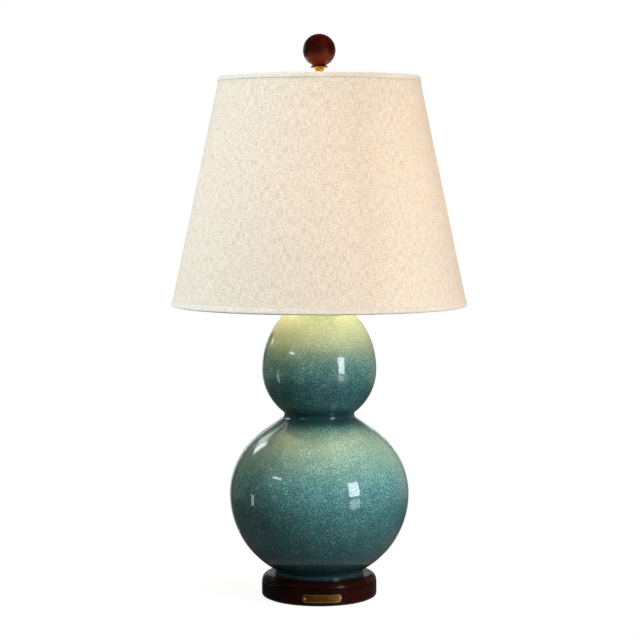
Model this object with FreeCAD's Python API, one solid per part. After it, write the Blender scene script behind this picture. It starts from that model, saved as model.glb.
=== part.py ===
import FreeCAD, Part
import math
import os

# Table lamp: a hollow double gourd of glazed ceramic on a turned wooden base, with a harp that
# carries a tapered linen shade and a finial.
# Millimetres. +Z is up, the origin is under the middle of the felt, and the front faces -Y.
V = FreeCAD.Vector
UP = V(0, 0, 1)
FRONT = V(0, -1, 0)
REAR = V(0, 1, 0)
RIGHT = V(1, 0, 0)

# Felt and wooden base
FELT_RADIUS = 69.0
FELT_THICK = 1.5
BASE_RADIUS = 74.5
BASE_HEIGHT = 29.5
BASE_EDGE_INSET = 2.8
BASE_EDGE_RISE = 3.8
BEAD_HEIGHT = 9.0
BEAD_INSET = 7.0
GROOVE_DEPTH = 1.1
GROOVE_WIDTH = 1.4
FOOT_RECESS_DEPTH = 2.0
NUT_WELL_RADIUS = 20.0
NUT_WELL_DEPTH = 13.5

# Nameplate and its two pins
PLATE_LENGTH = 50.0
PLATE_HEIGHT = 10.0
PLATE_CORNER = 3.6
PLATE_THICK = 0.8
PLATE_RIM_WIDTH = 0.8
PLATE_RIM_RISE = 0.35
PLATE_CENTRE_Z = 10.8
PIN_SPACING = 44.4
PIN_RADIUS = 0.6
PIN_HEAD_RADIUS = 1.15
PIN_HEAD_RISE = 0.6
PIN_LENGTH = 7.0

# Cord outlet bushing, at the rear
CORD_Z = 11.0
CORD_BORE_RADIUS = 3.7
BUSHING_RADIUS = 5.5
BUSHING_LENGTH = 10.0
BUSHING_FLANGE_RADIUS = 8.0
BUSHING_FLANGE_THICK = 1.8
SPOT_FACE_DEPTH = 1.0

# Threaded lamp pipe with its lower nut and washer
ROD_RADIUS = 4.8
ROD_BORE_RADIUS = 3.3
ROD_TAIL = 3.0
ROD_TOP_ENTRY = 7.0
NUT_ACROSS_FLATS = 15.0
NUT_THICK = 4.5
WASHER_RADIUS = 14.0
WASHER_THICK = 1.6

# Ceramic gourd: lower bulb, straight shoulder, waist and upper bulb
FOOT_RADIUS = 57.5
FOOT_RING_WIDTH = 9.0
FOOT_HOLLOW_DEPTH = 3.5
GOURD_WALL = 6.0
BELLY_RADIUS = 116.2
BELLY_RISE = 105.9
BELLY_LOWER_HEIGHT = 113.3
BELLY_UPPER_HEIGHT = 104.7
SHOULDER_RADIUS = 70.3
HEAD_RADIUS = 74.0
HEAD_RISE = 160.8
HEAD_LOWER_HEIGHT = 70.5
HEAD_UPPER_HEIGHT = 90.7
WAIST_FILLET = 5.0
FOOT_FILLET = 2.5
CREASE_SLACK = 0.5
MOUTH_RADIUS = 20.0
MOUTH_HOLE_RADIUS = 14.0
FOOT_HOLE_RADIUS = 7.0

# Cap and spacer that close the mouth
GASKET_RADIUS = 19.0
GASKET_THICK = 1.0
CAP_RADIUS = 25.0
CAP_EDGE = 2.0
CAP_HEIGHT = 8.0
CAP_COLLAR_DEPTH = 5.0
CAP_TOP_RADIUS = 10.0
CAP_CROWN = 1.3
SPACER_RADIUS = 9.5
SPACER_WAIST_RADIUS = 6.8
SPACER_HEIGHT = 6.0
SPACER_RIM = 1.0

# Harp saddle with two ears
SADDLE_THICK = 1.5
SADDLE_WIDTH = 12.0
SADDLE_BEND = 5.0
EAR_SPREAD = 28.0
EAR_RISE = 9.0
EAR_DEPTH = 11.0
EAR_ARM_WIDTH = 5.0
EAR_WALL = 0.8
EAR_FLOOR = 1.5
EAR_SLOT = 2.4

# Harp, swivel stud and locking sleeves
HARP_WIRE_RADIUS = 1.9
HARP_HEIGHT = 246.0
HARP_HALF_WIDTH = 57.0
HARP_LEG_STRAIGHT = 34.0
HARP_FLARE_HEIGHT = 38.0
HARP_FLARE_BEND = 32.0
HARP_TOP_BEND = 48.0
EYE_RADIUS = 6.5
STUD_RADIUS = 3.1
STUD_FLANGE_RADIUS = 7.5
STUD_FLANGE_THICK = 2.4
STUD_HEAD_RADIUS = 4.8
STUD_HEAD_THICK = 1.6
STUD_REACH = 14.0
STUD_BEVEL = 0.8
SLEEVE_WALL = 1.0
SLEEVE_LENGTH = 13.0
SLEEVE_OVERLAP = 2.0
SLEEVE_LIP = 0.5

# Lamp socket
SOCKET_HUB_RADIUS = 8.0
SOCKET_HUB_HEIGHT = 7.5
SOCKET_CAP_HEIGHT = 22.0
SOCKET_CAP_RIM = 7.0
SOCKET_SHEET = 0.8
SHELL_RADIUS = 16.6
SHELL_LENGTH = 44.0
SHELL_OVERLAP = 6.0
SHELL_BEAD = 0.7
LINER_THICK = 0.6
CORE_RADIUS = 14.4
CORE_HEIGHT = 18.0
CORE_ROD_RECESS = 4.5
SCREW_SHELL_THICK = 0.6
SCREW_SHELL_HEIGHT = 22.0
CONTACT_WIDTH = 6.0
CONTACT_THICK = 0.6
TERMINAL_SCREW_RADIUS = 2.6
TERMINAL_SCREW_SHANK = 1.4
TERMINAL_HEAD_THICK = 1.2
TERMINAL_SLOT_WIDTH = 0.6

# Switch: bushing, shaft and ribbed knob, towards the front
SWITCH_BUSHING_RADIUS = 4.2
SWITCH_BUSHING_REACH = 6.5
SWITCH_POCKET_DEPTH = 2.4
SWITCH_SHAFT_RADIUS = 1.6
SWITCH_SHAFT_DEPTH = 8.0
KNOB_RADIUS = 6.5
KNOB_LENGTH = 15.0
KNOB_FLUTES = 14
KNOB_FLUTE_RADIUS = 0.9
KNOB_DOME = 2.0

# Bulb
BULB_RADIUS = 30.0
BULB_NECK_RADIUS = 13.2
BULB_NECK_ANGLE = 35.0
BULB_LENGTH = 110.0
BULB_GLASS_THICK = 0.9
BULB_CAP_RADIUS = 13.0
BULB_CAP_HEIGHT = 21.0
BULB_CAP_THICK = 0.4
BULB_NECK_SINK = 4.0
BULB_INSULATOR_HEIGHT = 3.0
BULB_CONTACT_RADIUS = 4.6
BULB_CONTACT_HEIGHT = 1.4
BULB_CONTACT_MARGIN = 1.0
BULB_STEM_RADIUS = 3.5
BULB_STEM_FLARE = 20.0
BULB_STEM_HEIGHT = 42.0
FILAMENT_WIRE_RADIUS = 0.5
FILAMENT_ROOT = 1.7
FILAMENT_SPREAD = 11.0
FILAMENT_LEAD = 16.0
FILAMENT_CREST = 4.0

# Shade
SHADE_TOP_RADIUS = 127.0
SHADE_BOTTOM_RADIUS = 190.5
SHADE_HEIGHT = 292.0
SHADE_DROP = 10.9
TRIM_THICK = 0.5
HEM_HEIGHT = 7.0
FABRIC_THICK = 0.8
LINER_SHEET = 0.6
SHADE_RING_RADIUS = 1.5
LAYER_GAP = 0.05
SPIDER_WASHER_RADIUS = 14.0
SPIDER_WASHER_THICK = 2.0
SPIDER_ARM_RADIUS = 1.7
SPIDER_ARM_START = 9.5
SPIDER_ARM_RISE_LENGTH = 26.0
SPIDER_ARM_BEND = 12.0
SPIDER_ARM_ANGLES = (90.0, 210.0, 330.0)

# Finial
FINIAL_BALL_RADIUS = 20.9
FINIAL_FLAT_RADIUS = 7.2
FINIAL_BASE_HEIGHT = 25.2
FINIAL_FOOT_RADIUS = 7.4
FINIAL_FOOT_THICK = 2.0
FINIAL_NECK_RADIUS = 4.9
FINIAL_NECK_RISE = 7.6
FINIAL_CONE_RADIUS = 6.6
FINIAL_CONE_STEP = 0.9
FINIAL_FLANGE_RADIUS = 10.2
FINIAL_FLANGE_THICK = 3.0
FINIAL_FLANGE_BULGE = 0.5
FINIAL_TANG_RADIUS = 3.0
FINIAL_TANG_LENGTH = 11.0

# Clearances
FIXED_FIT = 0.05
BORE_FIT = 0.2
RUNNING_FIT = 0.08
SEAT_GAP = 0.3
FREE_GAP = 0.4

# Heights that follow from the sizes
z_base = FELT_THICK
z_base_top = z_base + BASE_HEIGHT
z_well = z_base + NUT_WELL_DEPTH
z_foot = z_base_top - FOOT_RECESS_DEPTH
z_belly = z_foot + BELLY_RISE
z_head = z_belly + HEAD_RISE
z_mouth = z_head + HEAD_UPPER_HEIGHT * math.sqrt(1 - (MOUTH_RADIUS / HEAD_RADIUS) ** 2)
z_cap = z_mouth + GASKET_THICK
z_spacer = z_cap + CAP_HEIGHT
z_saddle = z_spacer + SPACER_HEIGHT
z_socket = z_saddle + SADDLE_THICK
z_shell = z_socket + SOCKET_CAP_HEIGHT - SHELL_OVERLAP
z_shell_top = z_shell + SHELL_LENGTH
z_core = z_shell + SOCKET_SHEET
z_screw_shell = z_core + CORE_HEIGHT
z_switch = z_socket + SOCKET_CAP_HEIGHT + SWITCH_BUSHING_RADIUS + FREE_GAP
z_contact = z_screw_shell + CONTACT_THICK
z_bulb = z_contact + CONTACT_THICK + SEAT_GAP
z_bulb_cap = z_bulb + BULB_CONTACT_HEIGHT + BULB_INSULATOR_HEIGHT
z_bulb_rim = z_bulb_cap + BULB_CAP_HEIGHT
z_bulb_centre = z_bulb + BULB_LENGTH - BULB_RADIUS
z_ear = z_saddle + EAR_RISE
z_leg = z_ear + SEAT_GAP
z_eye = z_leg + HARP_HEIGHT
z_flange = z_eye + HARP_WIRE_RADIUS + SEAT_GAP
z_washer = z_flange + STUD_FLANGE_THICK + SEAT_GAP
z_shade_top = z_washer + SPIDER_WASHER_THICK + SHADE_DROP
z_shade_bottom = z_shade_top - SHADE_HEIGHT
z_finial = z_washer + SPIDER_WASHER_THICK + SEAT_GAP
z_finial_seat = z_finial + FINIAL_BASE_HEIGHT

# Other sizes that follow
ear_bore_radius = HARP_WIRE_RADIUS + RUNNING_FIT
ear_radius = ear_bore_radius + EAR_WALL
sleeve_bore_radius = ear_radius + RUNNING_FIT
shell_bore_radius = SHELL_RADIUS - SOCKET_SHEET
liner_radius = shell_bore_radius - FIXED_FIT
screw_shell_bore = BULB_CAP_RADIUS + FREE_GAP
shade_tilt = math.atan2(SHADE_BOTTOM_RADIUS - SHADE_TOP_RADIUS, SHADE_HEIGHT)
shade_slant = SHADE_HEIGHT / math.cos(shade_tilt)
fabric_face = TRIM_THICK + LAYER_GAP
liner_face = fabric_face + FABRIC_THICK + LAYER_GAP
ring_face = liner_face + LINER_SHEET + LAYER_GAP
hem_width = ring_face + 2 * SHADE_RING_RADIUS + LAYER_GAP + TRIM_THICK
ring_setback = TRIM_THICK + LAYER_GAP + SHADE_RING_RADIUS


def at(radius, z):
    """A point of a turned outline."""
    return V(radius, 0, z)


def closed_wire(start, steps):
    """An outline from start, through points for straight runs and (middle, end) pairs for arcs."""
    edges = []
    here = at(*start)
    for step in steps + [start]:
        is_arc = isinstance(step[0], tuple)
        there = at(*step[1]) if is_arc else at(*step)
        if is_arc:
            edges.append(Part.Arc(here, at(*step[0]), there).toShape())
        elif there.distanceToPoint(here) > 1e-6:
            edges.append(Part.LineSegment(here, there).toShape())
        here = there
    return Part.Wire(edges)


def turned(start, *steps):
    """A solid turned about the Z axis from an outline."""
    return Part.Face(closed_wire(start, list(steps))).revolve(V(), UP, 360)


def turned_towards(direction, origin, start, *steps):
    """A turned solid whose axis points along direction, from origin."""
    solid = turned(start, *steps)
    solid.Placement = FreeCAD.Placement(origin, FreeCAD.Rotation(UP, direction))
    return solid


def dome(radius, z, rise):
    """The arc of a spherical cap, as (middle, top), from its rim up to the axis."""
    sphere = (radius ** 2 + rise ** 2) / (2 * rise)
    half = math.asin(radius / sphere) / 2
    return ((sphere * math.sin(half), z + rise - sphere * (1 - math.cos(half))), (0, z + rise))


def upright_arc(free, upright):
    """The middle of the arc from a free point to one where the arc runs upright."""
    side = math.copysign(1, upright[0] - free[0])
    inset = abs(upright[0] - free[0])
    rise = free[1] - upright[1]
    radius = (inset ** 2 + rise ** 2) / (2 * inset)
    half = math.atan2(rise, radius - inset) / 2
    return (upright[0] - side * radius * (1 - math.cos(half)), upright[1] + radius * math.sin(half))


def cylinder(radius, height, base=V(), direction=UP):
    return Part.makeCylinder(radius, height, base, direction)


def tube(radius, bore, height, base=V(), direction=UP):
    return cylinder(radius, height, base, direction).cut(cylinder(bore, height, base, direction))


def box(x_low, x_high, y_low, y_high, z_low, z_high):
    return Part.makeBox(x_high - x_low, y_high - y_low, z_high - z_low, V(x_low, y_low, z_low))


def fused(shapes):
    return shapes[0].multiFuse(shapes[1:]).removeSplitter()


def circles_near(shape, radius, z, slack):
    """The level circular edges of a turned shape close to a radius and a height."""
    found = []
    for edge in shape.Edges:
        span = edge.BoundBox
        if span.ZLength < slack and abs(span.ZMin - z) < slack and abs(span.XMax - radius) < slack:
            found.append(edge)
    return found


def rounded_path(points, radii):
    """Straight runs through the points, with a tangent arc of its own radius at each inner one."""
    edges = []
    start = points[0]
    for before, corner, after, radius in zip(points, points[1:], points[2:], radii):
        back = (before - corner).normalize()
        ahead = (after - corner).normalize()
        half_angle = back.getAngle(ahead) / 2
        enter = corner + back * (radius / math.tan(half_angle))
        leave = corner + ahead * (radius / math.tan(half_angle))
        middle = corner + (back + ahead).normalize() * (radius / math.sin(half_angle) - radius)
        edges.append(Part.LineSegment(start, enter).toShape())
        edges.append(Part.Arc(enter, middle, leave).toShape())
        start = leave
    edges.append(Part.LineSegment(start, points[-1]).toShape())
    return Part.Wire(edges)


def wire_along(path, radius):
    """A round wire swept along a path."""
    first = path.OrderedEdges[0]
    heading = first.tangentAt(first.FirstParameter)
    ring = Part.Wire([Part.Circle(first.valueAt(first.FirstParameter), heading, radius).toShape()])
    return path.makePipeShell([ring], True, False)


def pair(shape):
    """A shape and its mirror image across the middle plane, as separate solids."""
    return Part.makeCompound([shape, shape.mirror(V(), RIGHT)])


# Base

def felt_pad():
    return cylinder(FELT_RADIUS, FELT_THICK)


def base_form():
    """The turned outside of the base: rounded lower edge, straight side, groove and bead."""
    z_groove = z_base_top - BEAD_HEIGHT
    edge_low = (BASE_RADIUS - BASE_EDGE_INSET, z_base)
    edge_high = (BASE_RADIUS, z_base + BASE_EDGE_RISE)
    bead_low = (BASE_RADIUS - GROOVE_DEPTH / 2, z_groove + GROOVE_WIDTH / 2)
    bead_high = (BASE_RADIUS - BEAD_INSET, z_base_top)
    return turned(
        (0, z_base),
        edge_low,
        (upright_arc(edge_low, edge_high), edge_high),
        (BASE_RADIUS, z_groove - GROOVE_WIDTH / 2),
        (BASE_RADIUS - GROOVE_DEPTH, z_groove),
        bead_low,
        (upright_arc(bead_high, bead_low), bead_high),
        (0, z_base_top),
    )


def wooden_base():
    base = base_form()
    spot_face = BASE_RADIUS - SPOT_FACE_DEPTH
    spot_radius = BUSHING_FLANGE_RADIUS + BORE_FIT
    cutters = [
        cylinder(FOOT_RADIUS + BORE_FIT, FOOT_RECESS_DEPTH, V(0, 0, z_foot)),
        cylinder(NUT_WELL_RADIUS, NUT_WELL_DEPTH, V(0, 0, z_base)),
        cylinder(ROD_RADIUS + BORE_FIT, BASE_HEIGHT, V(0, 0, z_base)),
        cylinder(BUSHING_RADIUS + FIXED_FIT, BASE_RADIUS, V(0, 0, CORD_Z), REAR),
        cylinder(spot_radius, BUSHING_FLANGE_RADIUS, V(0, spot_face, CORD_Z), REAR),
    ]
    for angle in pin_angles():
        cutters.append(pin_hole(angle))
    for cutter in cutters:
        base = base.cut(cutter)
    return base


def pin_angles():
    """Where the two pins stand around the base, in degrees either side of the front."""
    angle = math.degrees(PIN_SPACING / 2 / BASE_RADIUS)
    return (-angle, angle)


def around_front(angle):
    """The outward direction at an angle from the front."""
    turn = math.radians(angle)
    return V(math.sin(turn), -math.cos(turn), 0)


def pin_hole(angle):
    outward = around_front(angle)
    root = outward * (BASE_RADIUS - PIN_LENGTH) + V(0, 0, PLATE_CENTRE_Z)
    return cylinder(PIN_RADIUS + FIXED_FIT, PIN_LENGTH + 2 * PLATE_THICK, root, outward)


def plate_blank(shrink, inner_radius, outer_radius):
    """A rounded rectangle, seen from the front, cut from a shell around the base."""
    half_length = BASE_RADIUS * math.sin(PLATE_LENGTH / 2 / BASE_RADIUS) - shrink
    half_height = PLATE_HEIGHT / 2 - shrink
    outline = box(-half_length, half_length, -2 * BASE_RADIUS, 0,
                  PLATE_CENTRE_Z - half_height, PLATE_CENTRE_Z + half_height)
    corners = [edge for edge in outline.Edges if edge.BoundBox.YLength > BASE_RADIUS]
    outline = outline.makeFillet(PLATE_CORNER - shrink, corners)
    shell = tube(outer_radius, inner_radius, BASE_HEIGHT, V(0, 0, z_base))
    return shell.common(outline)


def nameplate():
    inside = BASE_RADIUS + FIXED_FIT
    face = inside + PLATE_THICK
    plate = plate_blank(0, inside, face + PLATE_RIM_RISE)
    field = plate_blank(PLATE_RIM_WIDTH, face, face + 2 * PLATE_RIM_RISE)
    plate = plate.cut(field)
    for angle in pin_angles():
        plate = plate.cut(pin_hole(angle))
    return plate


def nameplate_pins():
    """Two round-headed pins that hold the plate to the wood."""
    z_head_face = PIN_LENGTH + FIXED_FIT + PLATE_THICK + FIXED_FIT
    pins = []
    for angle in pin_angles():
        outward = around_front(angle)
        root = outward * (BASE_RADIUS - PIN_LENGTH) + V(0, 0, PLATE_CENTRE_Z)
        pins.append(turned_towards(
            outward, root,
            (0, 0),
            (PIN_RADIUS, 0),
            (PIN_RADIUS, z_head_face),
            (PIN_HEAD_RADIUS, z_head_face),
            dome(PIN_HEAD_RADIUS, z_head_face, PIN_HEAD_RISE),
        ))
    return Part.makeCompound(pins)


def cord_bushing():
    """A flanged insulating bushing in the spot face at the rear."""
    spot_face = BASE_RADIUS - SPOT_FACE_DEPTH
    bead = BUSHING_FLANGE_THICK / 2
    return turned_towards(
        REAR, V(0, spot_face - BUSHING_LENGTH, CORD_Z),
        (CORD_BORE_RADIUS, 0),
        (BUSHING_RADIUS, 0),
        (BUSHING_RADIUS, BUSHING_LENGTH),
        (BUSHING_FLANGE_RADIUS - bead, BUSHING_LENGTH),
        ((BUSHING_FLANGE_RADIUS, BUSHING_LENGTH + bead),
         (BUSHING_FLANGE_RADIUS - bead, BUSHING_LENGTH + BUSHING_FLANGE_THICK)),
        (CORD_BORE_RADIUS, BUSHING_LENGTH + BUSHING_FLANGE_THICK),
    )


# Lamp pipe

def rod_lower_washer():
    return tube(WASHER_RADIUS, ROD_RADIUS + BORE_FIT, WASHER_THICK, V(0, 0, z_well - WASHER_THICK))


def rod_lower_nut():
    z_nut = z_well - WASHER_THICK - NUT_THICK
    corner = NUT_ACROSS_FLATS / math.sqrt(3)
    corners = []
    for index in range(7):
        turn = math.radians(60 * index)
        corners.append(V(corner * math.cos(turn), corner * math.sin(turn), z_nut))
    nut = Part.Face(Part.makePolygon(corners)).extrude(V(0, 0, NUT_THICK))
    return nut.cut(cylinder(ROD_RADIUS + FIXED_FIT, NUT_THICK, V(0, 0, z_nut)))


def lamp_rod():
    z_low = z_well - WASHER_THICK - NUT_THICK - ROD_TAIL
    height = z_socket + ROD_TOP_ENTRY - z_low
    return tube(ROD_RADIUS, ROD_BORE_RADIUS, height, V(0, 0, z_low))


# Ceramic gourd

def ellipse_arc(across, upright, z_centre, low_angle, high_angle):
    """An arc of an upright ellipse on the axis, between two angles from its level axis."""
    if across >= upright:
        curve = Part.Ellipse(at(across, z_centre), at(0, z_centre + upright), at(0, z_centre))
        return Part.ArcOfEllipse(curve, low_angle, high_angle).toShape()
    curve = Part.Ellipse(at(0, z_centre + upright), at(-across, z_centre), at(0, z_centre))
    quarter = math.pi / 2
    return Part.ArcOfEllipse(curve, low_angle - quarter, high_angle - quarter).toShape()


def add_lines(edges, *points):
    """Adds straight runs to an outline, from its last edge on."""
    here = edges[-1].valueAt(edges[-1].LastParameter)
    for point in points:
        edges.append(Part.LineSegment(here, point).toShape())
        here = point


def belly_form(inset, z_floor):
    """The lower bulb with its straight shoulder, inset by a wall, standing on a flat floor."""
    across = BELLY_RADIUS - inset
    lower = BELLY_LOWER_HEIGHT - inset
    upper = BELLY_UPPER_HEIGHT - inset
    tangent_radius = SHOULDER_RADIUS - inset
    low_angle = -math.asin((z_belly - z_floor) / lower) if z_belly - z_floor < lower else -math.pi / 2
    high_angle = math.acos(tangent_radius / across)
    z_tangent = z_belly + upper * math.sin(high_angle)
    fall = upper * math.cos(high_angle) / (across * math.sin(high_angle))
    edges = [ellipse_arc(across, lower, z_belly, low_angle, 0)]
    edges.append(ellipse_arc(across, upper, z_belly, 0, high_angle))
    add_lines(edges, at(0, z_tangent + tangent_radius * fall))
    add_lines(edges, at(0, edges[0].valueAt(edges[0].FirstParameter).z))
    if edges[0].valueAt(edges[0].FirstParameter).x > 1e-6:
        add_lines(edges, edges[0].valueAt(edges[0].FirstParameter))
    return Part.Face(Part.Wire(edges)).revolve(V(), UP, 360)


def head_form(inset):
    """The upper bulb, inset by a wall."""
    across = HEAD_RADIUS - inset
    lower = ellipse_arc(across, HEAD_LOWER_HEIGHT - inset, z_head, -math.pi / 2, 0)
    upper = ellipse_arc(across, HEAD_UPPER_HEIGHT - inset, z_head, 0, math.pi / 2)
    edges = [lower, upper]
    add_lines(edges, lower.valueAt(lower.FirstParameter))
    return Part.Face(Part.Wire(edges)).revolve(V(), UP, 360)


def gourd_outside():
    """Foot, lower bulb and upper bulb as one skin, cut level at the mouth, and its waist's height."""
    foot = cylinder(FOOT_RADIUS, GOURD_WALL + FOOT_HOLLOW_DEPTH, V(0, 0, z_foot))
    sharp = fused([foot, belly_form(0, z_foot + FOOT_HOLLOW_DEPTH), head_form(0)])
    sharp = sharp.cut(cylinder(HEAD_RADIUS, HEAD_UPPER_HEIGHT, V(0, 0, z_mouth)))
    creases = concave_circles(sharp)
    waist = [edge for edge in creases if edge.BoundBox.ZMin > z_belly]
    foot_corner = [edge for edge in creases if edge.BoundBox.ZMin < z_belly]
    smooth = sharp.makeFillet(WAIST_FILLET, waist)
    corner = foot_corner[0].BoundBox
    foot_corner = circles_near(smooth, corner.XMax, corner.ZMin, CREASE_SLACK)
    return smooth.makeFillet(FOOT_FILLET, foot_corner), waist[0].BoundBox.ZMin


def concave_circles(shape):
    """The level circles where two bulbs, or a bulb and the foot, meet."""
    found = []
    for edge in shape.Edges:
        span = edge.BoundBox
        level = span.ZLength < CREASE_SLACK
        inside = z_foot + CREASE_SLACK < span.ZMin < z_mouth - CREASE_SLACK
        at_equator = min(abs(span.ZMin - z_belly), abs(span.ZMin - z_head)) < CREASE_SLACK
        at_tangent = abs(span.XMax - SHOULDER_RADIUS) < CREASE_SLACK
        if level and inside and not at_equator and not at_tangent:
            found.append(edge)
    return found


def gourd_body():
    """The hollow gourd: a lower and an upper part, luted together at the waist."""
    outside, z_waist = gourd_outside()
    z_floor = z_foot + FOOT_HOLLOW_DEPTH + GOURD_WALL
    cavity = fused([belly_form(GOURD_WALL, z_floor), head_form(GOURD_WALL)])
    foot_hollow = cylinder(FOOT_RADIUS - FOOT_RING_WIDTH, FOOT_HOLLOW_DEPTH, V(0, 0, z_foot))
    mouth = cylinder(MOUTH_HOLE_RADIUS, HEAD_UPPER_HEIGHT, V(0, 0, z_head))
    pipe_hole = cylinder(FOOT_HOLE_RADIUS, z_floor - z_foot, V(0, 0, z_foot))
    body = outside.cut(cavity)
    for cutter in (foot_hollow, mouth, pipe_hole):
        body = body.cut(cutter)
    below_waist = cylinder(2 * BELLY_RADIUS, z_waist, V())
    return Part.makeCompound([body.common(below_waist), body.cut(below_waist)])


# Mouth cap and spacer

def mouth_gasket():
    return tube(GASKET_RADIUS, MOUTH_HOLE_RADIUS, GASKET_THICK, V(0, 0, z_mouth))


def vase_cap():
    """A domed cap with a collar that centres it in the mouth."""
    bore = ROD_RADIUS + BORE_FIT
    collar = MOUTH_HOLE_RADIUS - BORE_FIT
    middle = ((CAP_RADIUS + CAP_TOP_RADIUS) / 2, z_cap + (CAP_EDGE + CAP_HEIGHT) / 2 + CAP_CROWN)
    return turned(
        (bore, z_cap - CAP_COLLAR_DEPTH),
        (collar, z_cap - CAP_COLLAR_DEPTH),
        (collar, z_cap),
        (CAP_RADIUS, z_cap),
        (CAP_RADIUS, z_cap + CAP_EDGE),
        (middle, (CAP_TOP_RADIUS, z_cap + CAP_HEIGHT)),
        (bore, z_cap + CAP_HEIGHT),
    )


def neck_spacer():
    """A turned spacer with a hollow waist."""
    bore = ROD_RADIUS + BORE_FIT
    return turned(
        (bore, z_spacer),
        (SPACER_RADIUS, z_spacer),
        (SPACER_RADIUS, z_spacer + SPACER_RIM),
        ((SPACER_WAIST_RADIUS, z_spacer + SPACER_HEIGHT / 2), (SPACER_RADIUS, z_saddle - SPACER_RIM)),
        (SPACER_RADIUS, z_saddle),
        (bore, z_saddle),
    )


# Harp saddle, harp, stud and sleeves

def ear():
    """One upright ear, open towards the middle, that a harp leg drops into."""
    base = V(EAR_SPREAD, 0, z_ear - EAR_FLOOR)
    cup = cylinder(ear_radius, EAR_DEPTH + EAR_FLOOR, base)
    cup = cup.cut(cylinder(ear_bore_radius, EAR_DEPTH, V(EAR_SPREAD, 0, z_ear)))
    slot = box(EAR_SPREAD - 2 * ear_radius, EAR_SPREAD, -EAR_SLOT / 2, EAR_SLOT / 2,
               z_ear, z_ear + EAR_DEPTH)
    return cup.cut(slot)


def harp_saddle():
    """A bent strip under the socket, with a narrow arm and an ear at each end."""
    z_strip = z_saddle + SADDLE_THICK / 2
    path = rounded_path(
        [V(-EAR_SPREAD, 0, z_ear - EAR_FLOOR / 2), V(-EAR_SPREAD, 0, z_strip),
         V(EAR_SPREAD, 0, z_strip), V(EAR_SPREAD, 0, z_ear - EAR_FLOOR / 2)],
        [SADDLE_BEND, SADDLE_BEND],
    )
    start = path.OrderedVertexes[0].Point
    corners = []
    for across, along in ((-1, -1), (1, -1), (1, 1), (-1, 1), (-1, -1)):
        corners.append(start + V(across * SADDLE_THICK / 2, along * SADDLE_WIDTH / 2, 0))
    strip = path.makePipeShell([Part.makePolygon(corners)], True, False)
    z_narrow = z_strip + SADDLE_BEND
    for side in (-1, 1):
        edge = side * EAR_ARM_WIDTH / 2
        far = side * SADDLE_WIDTH
        strip = strip.cut(box(-2 * EAR_SPREAD, 2 * EAR_SPREAD, min(edge, far), max(edge, far),
                              z_narrow, z_ear))
    strip = strip.cut(cylinder(ROD_RADIUS + BORE_FIT, EAR_RISE, V(0, 0, z_saddle)))
    return fused([strip, ear(), ear().mirror(V(), RIGHT)])


def harp_loop():
    """The bent wire, with a flattened eye at its top that the stud turns in."""
    z_flare = z_leg + HARP_LEG_STRAIGHT
    right = [V(EAR_SPREAD, 0, z_leg), V(EAR_SPREAD, 0, z_flare),
             V(HARP_HALF_WIDTH, 0, z_flare + HARP_FLARE_HEIGHT), V(HARP_HALF_WIDTH, 0, z_eye)]
    left = [V(-point.x, 0, point.z) for point in reversed(right)]
    bends = [HARP_FLARE_BEND, HARP_FLARE_BEND, HARP_TOP_BEND]
    wire = wire_along(rounded_path(right + left, bends + bends[::-1]), HARP_WIRE_RADIUS)
    eye = cylinder(EYE_RADIUS, 2 * HARP_WIRE_RADIUS, V(0, 0, z_eye - HARP_WIRE_RADIUS))
    hole = cylinder(STUD_RADIUS + RUNNING_FIT, 4 * HARP_WIRE_RADIUS, V(0, 0, z_eye - 2 * HARP_WIRE_RADIUS))
    return wire.fuse(eye).cut(hole)


def harp_stud():
    """A swivel stud: peened head under the eye, flange over it and the finial's thread."""
    z_head_top = z_eye - HARP_WIRE_RADIUS - SEAT_GAP
    z_flange_top = z_flange + STUD_FLANGE_THICK
    z_top = z_flange_top + STUD_REACH
    return turned(
        (0, z_head_top - STUD_HEAD_THICK),
        (STUD_HEAD_RADIUS, z_head_top - STUD_HEAD_THICK),
        (STUD_HEAD_RADIUS, z_head_top),
        (STUD_RADIUS, z_head_top),
        (STUD_RADIUS, z_flange),
        (STUD_FLANGE_RADIUS, z_flange),
        (STUD_FLANGE_RADIUS, z_flange_top),
        (STUD_RADIUS, z_flange_top),
        (STUD_RADIUS, z_top - STUD_BEVEL),
        (STUD_RADIUS - STUD_BEVEL, z_top),
        (0, z_top),
    )


def harp_sleeve(side):
    """A locking sleeve over a harp leg and its ear, with a rolled lip at each end."""
    z_low = z_ear - SLEEVE_OVERLAP
    z_high = z_low + SLEEVE_LENGTH
    outer = sleeve_bore_radius + SLEEVE_WALL
    sleeve = turned(
        (sleeve_bore_radius, z_low),
        (outer, z_low),
        ((outer + SLEEVE_LIP, z_low + SLEEVE_LIP), (outer, z_low + 2 * SLEEVE_LIP)),
        (outer, z_high - 2 * SLEEVE_LIP),
        ((outer + SLEEVE_LIP, z_high - SLEEVE_LIP), (outer, z_high)),
        (sleeve_bore_radius, z_high),
    )
    sleeve.translate(V(side * EAR_SPREAD, 0, 0))
    return sleeve


def harp_sleeve_left():
    return harp_sleeve(-1)


def harp_sleeve_right():
    return harp_sleeve(1)


# Socket

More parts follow.
